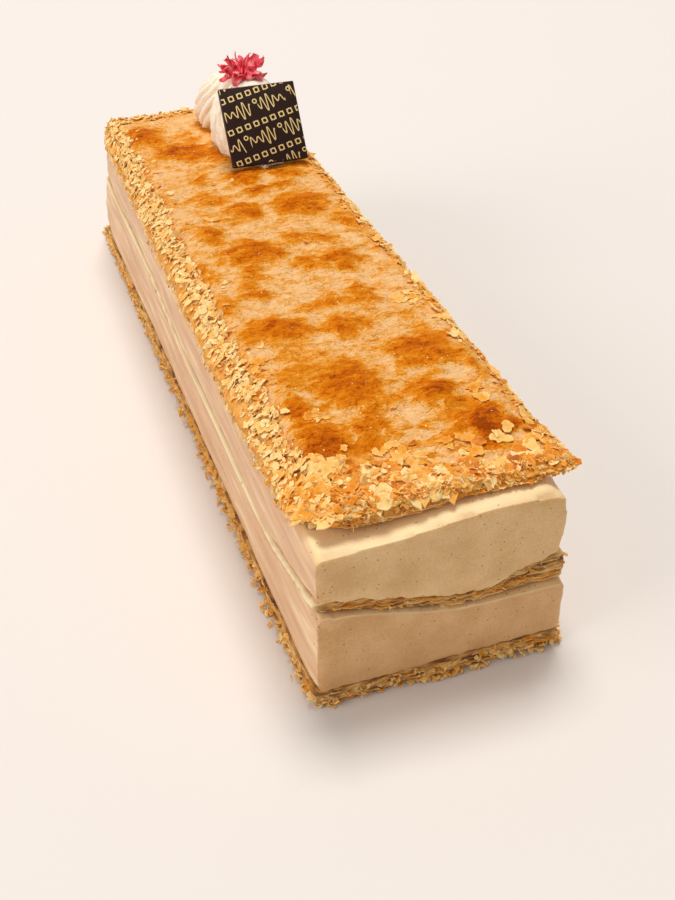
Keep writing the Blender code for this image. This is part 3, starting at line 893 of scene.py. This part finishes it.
def edge_leaves(name, points, normals, sides, seed):
    """Ledges over the exposed sides of a sheet, from its own height along each side."""
    all_points, all_faces, all_tones = [], [], []
    start = 0
    for outward, stack in sides:
        outward = np.array(outward, float)
        run = 1 - int(np.argmax(np.abs(outward)))
        face = points[(normals @ outward) > 0.5]
        bins = np.arange(face[:, run].min() + 1, face[:, run].max() - 1, STEP)
        near = [face[np.abs(face[:, run] - place) < 1.2] for place in bins]
        low_edge = np.array([np.percentile(some[:, 2], 12) for some in near])
        top_edge = np.array([np.percentile(some[:, 2], 88) for some in near])
        for share in stack:
            level = low_edge + share * (top_edge - low_edge)
            beside = [some[np.abs(some[:, 2] - z) < 1.5] for some, z in zip(near, level)]
            reach = np.array([(some @ outward).max(initial=NOWHERE) for some in beside])
            reach = np.where(reach == NOWHERE, np.median(reach), reach)
            for first in np.arange(0, len(bins) - 8, LEDGES_APART):
                first = int(first + rng.integers(0, 8))
                piece = slice(first, first + int(rng.integers(16, 36)))
                if len(bins[piece]) < 6:
                    continue
                path = np.zeros((len(bins[piece]), 3))
                path[:, run] = bins[piece]
                out = reach[piece] - rng.uniform(-0.5, 1.1)
                path += outward * out[:, None]
                height = np.clip(share + rng.normal(0, 0.06), 0, 1)
                path[:, 2] = low_edge[piece] + height * (top_edge[piece] - low_edge[piece])
                if (outward[0] - outward[1]) < 0:
                    path = path[::-1]
                corners, faces = ledge(path, outward, seed + start)
                all_points.append(corners)
                all_faces += [tuple(corner + start for corner in f) for f in faces]
                all_tones.append(np.full(len(corners), np.clip(rng.normal(0.3, 0.13), 0, 1)))
                start += len(corners)
    piece = pick(joined(name, all_points, all_faces, all_tones))
    bpy.ops.object.mode_set(mode="EDIT")
    bpy.ops.mesh.select_all(action="SELECT")
    bpy.ops.mesh.normals_make_consistent(inside=False)
    bpy.ops.object.mode_set(mode="OBJECT")
    dress(piece, baked_leaf, "puff_pastry")


# %% The pale line on the left
SEAM_STEP = 3       # its height is measured once in this many mm


def pale_line(points, left):
    """1 on the thin line of sheet that still shows between the creams, and 0 elsewhere."""
    bins = np.round(points[:, 1] / SEAM_STEP).astype(int)
    seam = np.zeros(len(points))
    for place in np.unique(bins[left > 0.5]):
        mine = (bins == place) & (left > 0.5)
        middle = (points[mine, 2].max() + points[mine, 2].min()) / 2
        away = np.abs(points[mine, 2] - middle) + 0.8 * lumps(points[mine], 5, 45)
        seam[mine] = ease(away, 2.4, 1.3)
    return seam


# %% One sheet
SHEET_GRAIN = 1.3


def sheet(node, name, seed, count, sizes, reach, tones, sides, smeared_left):
    """One crushed sheet, with its chips and its long leaves."""
    layer = sewn_copy(node, name)
    apply(layer, "REMESH", mode="VOXEL", voxel_size=SHEET_GRAIN * MM)
    points = points_of(layer)
    normals = normals_of(layer)
    edge = ease(np.abs(normals[:, 2]), 0.75, 0.4)
    left = smeared_left * ease(points[:, 0], -42, -44)
    roughness = 0.8 * edge * (1 - left)
    points += normals * (roughness * lumps(points, (5, 5, 1.3), seed))[:, None]
    seam = pale_line(points, left)
    points[:, 0] -= 0.7 * seam
    points[:, 2] = np.maximum(points[:, 2], 0)
    hollow = ease(-normals[:, 1], 0.4, 0.8) * ease(lumps(points, (6, 6, 2), seed + 5), -0.1, 0.8)
    points[:, 1] += 1.8 * hollow
    move_points(layer, points)
    paint(layer, "seam", seam)
    paint(layer, "smeared", left)
    dress(layer, crushed, "puff_pastry", node)
    found = spots_on(points, edge * (1 - 0.97 * left), count)
    outward = normals[found] * (1, 1, 0) + 0.001
    at = points[found] + unit(outward) * rng.uniform(*reach, size=(count, 1))
    up = np.array((0, 0, 1)) + 0.35 * rng.normal(size=(count, 3))
    along = outward + 0.8 * rng.normal(size=(count, 3))
    length = rng.uniform(*sizes, size=count)
    width = length * rng.uniform(0.6, 1.0, size=count)
    curl = rng.normal(0, 0.4, size=count)
    tone = np.clip(rng.normal(*tones, size=count), 0, 1)
    torn_chips = strew(name + "_chips", chips, at, up, along, length, width, curl, tone)
    dress(torn_chips, baked_leaf, "puff_pastry")
    edge_leaves(name + "_leaves", points, normals, sides, seed)


# %% Middle and bottom sheets
# Each side with where on it the ledges lie, as shares of the sheet's own height
FRONT, RIGHT, REAR, LEFT = (0, -1, 0), (1, 0, 0), (0, 1, 0), (-1, 0, 0)

sheet(
    "middle_pastry", "middle_sheet", 41, 500,
    sizes=(1.2, 3.4), reach=(-1.4, -0.1), tones=(0.4, 0.14),
    sides=[(side, (0.05, 0.3, 0.55, 0.8, 0.98)) for side in (FRONT, RIGHT, REAR)],
    smeared_left=1.0,
)
sheet(
    "bottom_pastry", "bottom_sheet", 43, 2300,
    sizes=(1.0, 4.2), reach=(-1.4, 0.8), tones=(0.36, 0.16),
    sides=[(side, (0.1, 0.4, 0.7, 0.97)) for side in (FRONT, RIGHT, REAR, LEFT)],
    smeared_left=0.0,
)

# %% Crumbs at the foot
# Their middle x and y, how far they spread each way, and how many
FOOT = (
    (0, -187.5, 5, 0.8, 16), (11, -187.5, 5, 0.8, 9), (33, -187, 7, 0.8, 10),
    (-48.4, 0, 0.6, 172, 60),
)

at = np.concatenate(
    [
        np.array((x, y, 0.9)) + rng.uniform(-1, 1, size=(count, 3)) * (wide, long, 0.5)
        for x, y, wide, long, count in FOOT
    ]
)
count = len(at)
length = rng.uniform(1.5, 3.8, size=count)
width = length * rng.uniform(0.3, 0.8, size=count)
up = np.array((0, 0, 1)) + 0.4 * rng.normal(size=(count, 3))
tone = rng.uniform(0.1, 0.6, size=count)
curl = rng.normal(0, 0.5, size=count)
along = rng.normal(size=(count, 3))
crumbs = strew("foot_crumbs", chips, at, up, along, length, width, curl, tone)
dress(crumbs, baked_leaf, "puff_pastry")

# %% Ledges of the crust
edge_leaves(
    "crust_ledges", crust_points, crust_normals,
    [(side, (0.02, 0.15, 0.3, 0.5, 0.7)) for side in (FRONT, RIGHT, REAR)], 47,
)

# %% [markdown]
# ## The piped rosette
# Whipped cream from a star nozzle: two ridged heaps, pushed together. The solid has their
# shape. Sharper creases need finer faces than it has, so it is remeshed finely, the creases
# are worked out from the angle around each heap's middle, and a little noise softens them.

# %% Rosette finish
# Whipped cream is soft and matt, and light goes a few millimetres into it.
whipped, tree, shader, place = finish(
    "whipped cream", 0.5, Subsurface_Weight=0.4, Subsurface_Scale=3 * MM,
    Subsurface_Radius=(1.0, 0.8, 0.6),
)
froth = add(tree, "TexNoise", ("Vector", place), ("Scale", per_mm(1.5)), ("Detail", 4.0))
pale = add(tree, "ValToRGB", ("Fac", froth), stops=((0.3, "F6E6CE"), (0.7, "FFF5E4")))
surface(tree, shader, pale, froth, 0.3, 0.4)

# %% Rosette
ROSETTE_GRAIN = 0.7
CREASE = 1.7        # how deep the creases between the piped ridges are
MEETING = 124       # the y at which the two heaps meet

rosette = sewn_copy("cream_rosette", "whipped_rosette")
apply(rosette, "REMESH", mode="VOXEL", voxel_size=ROSETTE_GRAIN * MM)
apply(rosette, "SMOOTH", factor=0.5, iterations=4)
points = points_of(rosette)
normals = normals_of(rosette)
# Each heap: its middle, how many ridges it has, how they twist as they rise, and its points
heaps = (
    ((19.5, 107), 20, 0.04, points[:, 1] < MEETING),
    ((17, 138), 16, -0.05, points[:, 1] >= MEETING),
)
for middle, ridges, twist, mine in heaps:
    turn = np.arctan2(points[:, 1] - middle[1], points[:, 0] - middle[0])
    fold = np.abs(np.sin(ridges / 2 * (turn + twist * points[:, 2]) + lumps(points, 9, 52)))
    crease = CREASE * (1 - fold) ** 1.8 * ease(np.abs(normals[:, 2]), 1.0, 0.8)
    points -= normals * (crease * mine)[:, None]
points += normals * (0.3 * lumps(points, 3.5, 51))[:, None]
move_points(rosette, points)
dress(rosette, whipped, "whipped_cream", "cream_rosette")

# %% [markdown]
# ## Dried petals
# Crimson petals dried into narrow crumpled strips, pale along their veins. A lump with a petal
# pattern would look solid, so each petal is a tapered grid with a wall thickness, waved and
# folded its own way, that stands out of the top of the rosette.

# %% Petal finish
# Dried petals are dull and papery, and let a little light through.
dried, tree, shader, place = finish(
    "dried flower petal", 0.55, Subsurface_Weight=0.2, Subsurface_Scale=1.0 * MM
)
veins = add(tree, "TexNoise", ("Vector", place), ("Scale", per_mm(3.5)), ("Detail", 3.0))
crimson = add(
    tree, "ValToRGB", ("Fac", veins),
    stops=((0.3, "C62040"), (0.43, "F0445A"), (0.56, "FE7480"), (0.74, "FFC4C0")),
)
surface(tree, shader, crimson, veins, 0.5, 0.4)

# %% Petals
PETALS = 36
GOLDEN = 0.382          # of a turn from one petal to the next, so that they never line up
PETAL_WALL = 0.3
TOP_OF_ALL = 200        # a height above everything

petal_low, petal_high = (np.array(corner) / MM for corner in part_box("petal_garnish"))


def petal(number):
    """One strip, rooted near the cluster's middle and reaching outwards and up. Every sixth
    one is a wisp, narrow and steep."""
    bpy.ops.object.select_all(action="DESELECT")
    bpy.ops.mesh.primitive_grid_add(x_subdivisions=7, y_subdivisions=3, size=1)
    strip = bpy.context.object
    turn = math.tau * number * GOLDEN
    wisp = number % 6 == 3
    reach = rng.uniform(0.0, 0.95)
    length = rng.uniform(8.0, 11.0) if wisp else rng.uniform(6.5, 11.0)
    width = 1.0 if wisp else rng.uniform(3.5, 7.0)
    rise = 2.2 if wisp else rng.uniform(-0.7, 0.9)
    half = (petal_high - petal_low) / 2
    root = (petal_high + petal_low) / 2 - (0, rng.uniform(0, 6), 0)
    root[:2] += (half[:2] - 5) * reach * 0.75 * np.array((math.cos(turn), math.sin(turn)))
    over = Vector((*root[:2], TOP_OF_ALL)) * MM
    found, under, _, _ = rosette.ray_cast(over, Vector((0, 0, -1)))
    root[2] = (under.z / MM if found else petal_low[2]) + rng.uniform(0.3, 3.5)
    local = points_of(strip) * MM
    share = local[:, 0] + 0.5
    taper = np.sin(math.pi * (0.2 + 0.76 * np.clip(share, 0, 1))) ** 0.7
    wave = 1.4 * np.sin(share * rng.uniform(4, 8) + rng.uniform(0, 6))
    fold = rng.uniform(-2.2, 2.2) * np.abs(local[:, 1]) * 2
    flat = np.stack(
        (share * length, local[:, 1] * width * taper, wave * share + fold * taper), axis=1
    )
    flat += 0.25 * rng.normal(size=flat.shape) * (1, 1, 1.3) * (not wisp)
    tilt = Matrix.Rotation(turn, 3, "Z") @ Matrix.Rotation(-math.atan(rise), 3, "Y")
    roll = Matrix.Rotation(rng.uniform(-0.9, 0.9), 3, "X")
    placed = flat @ np.array(tilt @ roll).T + root
    move_points(strip, np.clip(placed, petal_low, petal_high))
    apply(strip, "SOLIDIFY", thickness=PETAL_WALL * MM, offset=0)
    return strip


strips = [petal(number) for number in range(PETALS)]
bpy.ops.object.select_all(action="DESELECT")
for strip in strips:
    strip.select_set(True)
bpy.context.view_layer.objects.active = strips[0]
bpy.ops.object.join()
petals = bpy.context.object
petals.name = "dried_petals"
dress(petals, dried, "dried_petal", "petal_garnish")

# %% [markdown]
# ## The chocolate plaque
# A thin square of dark chocolate that leans back against the rosette, printed in gold. It is a
# cube squared up, with its edges bevelled. The print is too thin to model: slanting bands of
# waves and rings, and between them rows of small rings that each stand between two strokes. It
# is worked out in the material from how far across and up the front a point is.

# %% Plaque
PLAQUE_LEAN = math.radians(35.7)
PLAQUE_SIDE = 36.8
PLAQUE_THICK = 2.4
BEVEL = 0.4

plaque_low, plaque_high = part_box("chocolate_plaque")
bpy.ops.object.select_all(action="DESELECT")
bpy.ops.mesh.primitive_cube_add(size=1)
plaque = bpy.context.object
plaque.name = "printed_plaque"
plaque.scale = Vector((PLAQUE_SIDE, PLAQUE_THICK, PLAQUE_SIDE)) * MM
bpy.ops.object.transform_apply(scale=True)
bpy.ops.object.mode_set(mode="EDIT")
bpy.ops.mesh.select_all(action="SELECT")
bpy.ops.mesh.bevel(offset=BEVEL * MM, segments=2, affect="EDGES")
bpy.ops.object.mode_set(mode="OBJECT")
flat = points_of(plaque)
print_map = plaque.data.uv_layers.new(name="print")
for corner in plaque.data.loops:
    place = flat[corner.vertex_index]
    print_map.data[corner.index].uv = (place[0] / PLAQUE_SIDE + 0.5, place[2] / PLAQUE_SIDE + 0.5)
paint(plaque, "front", np.where(flat[:, 1] < -0.49 * PLAQUE_THICK, 1.0, 0.0))
plaque.rotation_euler = (-PLAQUE_LEAN, 0, 0)
plaque.location = (plaque_low + plaque_high) / 2
pick(plaque)
bpy.ops.object.transform_apply(location=True, rotation=True)
print("plaque", PLAQUE_SIDE, "mm square")

# %% Where a point of the print is
SLANT = math.radians(-13)
BAND = 14.5         # from one band of waves to the next, in mm as are all of these
BAND_SHIFT = 6.7    # how far along the next band is shifted
LINE = 0.27         # half the width of a printed line

chocolate, tree, shader, place = finish("tempered dark chocolate", 0.36, Specular_IOR_Level=0.3)
across_up = add(tree, "UVMap", uv_map="print")
turned = add(tree, "Mapping", ("Vector", across_up), ("Rotation", (0, 0, SLANT)))
across = add(tree, "SeparateXYZ", ("Vector", turned))
up = across.node.outputs["Y"]
# The sums keep both lengths above zero all over the front.
across = summed(tree, 60.0, (across, PLAQUE_SIDE))
up = summed(tree, 40.0, (up, PLAQUE_SIDE))
band = add(tree, "Math", (0, up), (1, BAND), operation="DIVIDE")
band = add(tree, "Math", (0, band), operation="FLOOR")
across = summed(tree, across, (band, BAND_SHIFT))
up = add(tree, "Math", (0, up), (1, BAND), (2, 0.0), operation="WRAP")
print("a band every", BAND, "mm")

# %% Waves
# How far a point is above the curve is divided by how steep the curve is there, so that the
# line is as wide on the slopes as at the crests.
LOOP = 3.1          # from one wave to the next
SWELL = 12.4        # from one group of tall waves to the next
PAUSE = 17.3        # from one gap between waves to the next
WAVE_HEIGHT = 4.6   # the waves' middle above the foot of their band



def cycle(period, kind="SINE"):
    """A wave along the bands that comes round once in this many millimetres."""
    turn = add(tree, "Math", (0, across), (1, math.tau / period), operation="MULTIPLY")
    return add(tree, "Math", (0, turn), operation=kind)


tall = summed(tree, 2.3, (cycle(SWELL), 1.3))
height = summed(tree, WAVE_HEIGHT, (cycle(LOOP), tall))
slope = add(tree, "Math", (0, cycle(LOOP, "COSINE")), (1, tall), operation="MULTIPLY")
slope = add(tree, "Math", (0, slope), (1, math.tau / LOOP), operation="MULTIPLY")
steep = add(tree, "Math", (0, summed(tree, 1.0, (slope, slope))), operation="SQRT")
gap = add(tree, "Math", (0, up), (1, height), operation="SUBTRACT")
gap = add(tree, "Math", (0, gap), (1, steep), operation="DIVIDE")
waves = add(tree, "Math", (0, gap), (1, 0.0), (2, LINE), operation="COMPARE")
pause = cycle(PAUSE)
drawn = add(tree, "Math", (0, pause), (1, 0.8), operation="LESS_THAN")
waves = add(tree, "Math", (0, waves), (1, drawn), operation="MULTIPLY")
print("a wave every", LOOP, "mm")

# %% Rings and strokes
ROW = 11.6          # the row of small rings above the foot of its band
STROKE_GAP = 2.2    # from one stroke of the row to the next
STROKE_HALF = 1.3


def ring_of(spacing, height, radius):
    """A row of rings: 1 on their lines and 0 elsewhere."""
    along = add(tree, "Math", (0, across), (1, spacing), (2, 0.0), operation="WRAP")
    here = add(tree, "CombineXYZ", ("X", along), ("Y", up))
    away = add(
        tree, "VectorMath", (0, here), (1, (spacing / 2, height, 0)), out="Value",
        operation="DISTANCE",
    )
    return add(tree, "Math", (0, away), (1, radius), (2, LINE), operation="COMPARE")


# Large rings stand only in the gaps between the waves.
large = ring_of(5.9, 7.0, 0.9)
between = add(tree, "Math", (0, pause), (1, 0.6), operation="GREATER_THAN")
large = add(tree, "Math", (0, large), (1, between), operation="MULTIPLY")
small = ring_of(2 * STROKE_GAP, ROW, 1.15)
stroke = add(tree, "Math", (0, across), (1, STROKE_GAP), (2, 0.0), operation="WRAP")
stroke = add(tree, "Math", (0, stroke), (1, STROKE_GAP / 2), (2, LINE), operation="COMPARE")
level = add(tree, "Math", (0, up), (1, ROW), (2, STROKE_HALF), operation="COMPARE")
stroke = add(tree, "Math", (0, stroke), (1, level), operation="MULTIPLY")
printed = waves
for motif in (large, small, stroke):
    printed = add(tree, "Math", (0, printed), (1, motif), operation="MAXIMUM")
print("motifs: waves, large rings, small rings, strokes")

# %% Chocolate
# Tempered dark chocolate is nearly black, with a soft shine that a faint bloom breaks up.
front = add(tree, "Attribute", out="Fac", attribute_name="front")
front = add(tree, "Math", (0, front), (1, 0.95), operation="GREATER_THAN")
printed = add(tree, "Math", (0, printed), (1, front), operation="MULTIPLY")
face = add(
    tree, "Mix", (0, printed), (6, colour("2A1208")), (7, colour("F0D690")), data_type="RGBA"
)
tree.links.new(face, shader.inputs["Base Color"])
bloom = add(tree, "TexNoise", ("Vector", place), ("Scale", per_mm(6)), ("Detail", 4.0))
tree.links.new(summed(tree, 0.28, (bloom, 0.25)), shader.inputs["Roughness"])
dress(plaque, chocolate, "dark_chocolate", "chocolate_plaque")
